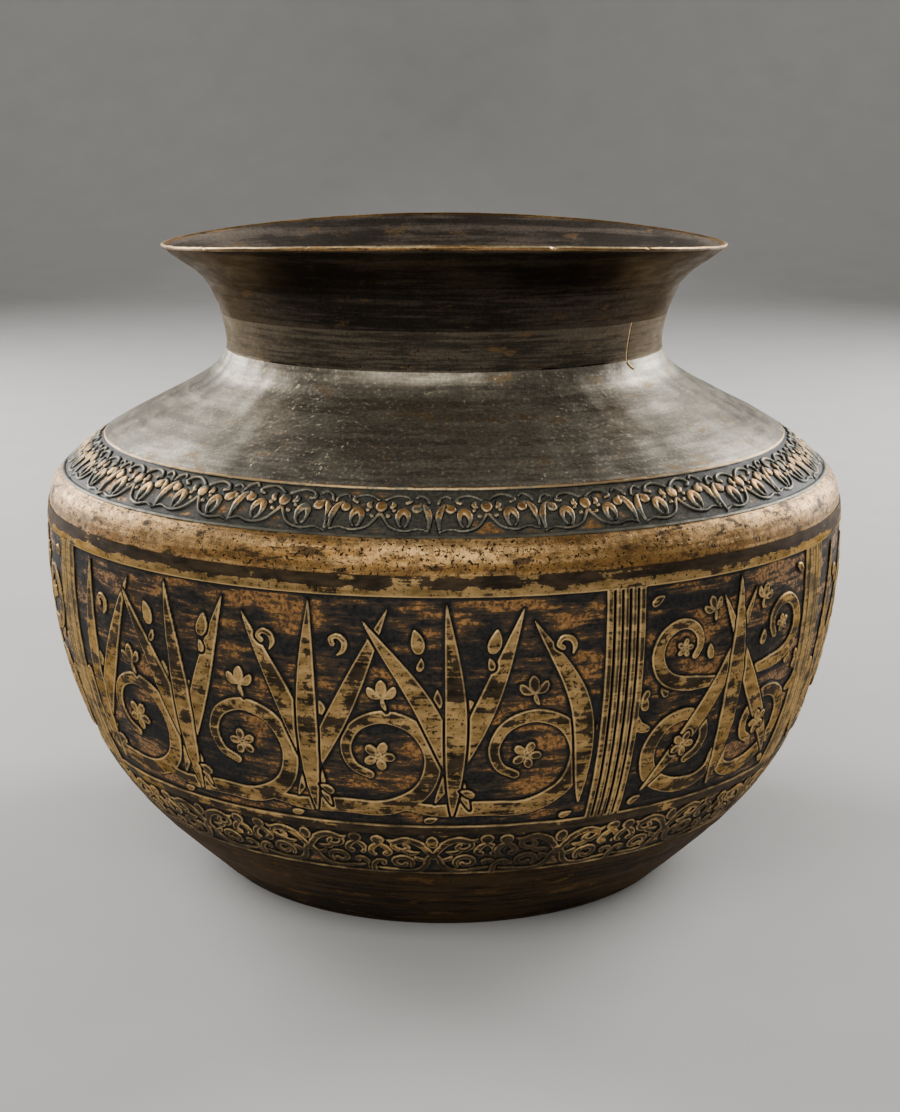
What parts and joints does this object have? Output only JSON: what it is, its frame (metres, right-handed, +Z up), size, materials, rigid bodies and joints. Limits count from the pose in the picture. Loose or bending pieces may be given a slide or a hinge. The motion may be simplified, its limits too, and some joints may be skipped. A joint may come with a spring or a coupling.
{
  "type": "brass pot",
  "caption": "Wide round-bellied brass pot with a short neck, a flared mouth, scroll bands and panelled relief ornament filled with black lac.",
  "frame": {"origin": "middle of the flat ring that the pot stands on", "axes": "+Z up the pot's axis of turning; the side that the picture shows faces -Y; +X is to its right"},
  "size_m": [0.2993, 0.2999, 0.2367],
  "materials": {
    "base_brass": "dull brown patina, worn along the foot's edge",
    "relief_brass": "rubbed relief over a dark ground",
    "keel_brass": "rubbed bright, pitted",
    "shoulder_brass": "dark grey-brown patina, brushed",
    "neck_brass": "brown-grey patina",
    "mouth_brass": "near-black patina with turning streaks",
    "lip_brass": "worn bright",
    "braze": "filed braze",
    "black_lac": "dull black lac, worn in patches"
  },
  "bodies": {
    "root": {"base_disc": "base_brass", "bowl_wall": "relief_brass", "narrow_panel_lac_1": "black_lac", "wide_panel_lac_1": "black_lac", "narrow_panel_spray_1": "relief_brass", "wide_panel_spray_1": "relief_brass", "narrow_panel_lac_2": "black_lac", "wide_panel_lac_2": "black_lac", "narrow_panel_spray_2": "relief_brass", "wide_panel_spray_2": "relief_brass", "narrow_panel_lac_3": "black_lac", "wide_panel_lac_3": "black_lac", "narrow_panel_spray_3": "relief_brass", "wide_panel_spray_3": "relief_brass", "lower_scroll_lac": "black_lac", "keel_hoop": "keel_brass", "shoulder_shell": "shoulder_brass", "upper_scroll_lac": "black_lac", "neck_ring": "neck_brass", "neck_seam_braze": "braze", "mouth_flare": "mouth_brass", "lip_band": "lip_brass"}
  },
  "joints": []
}
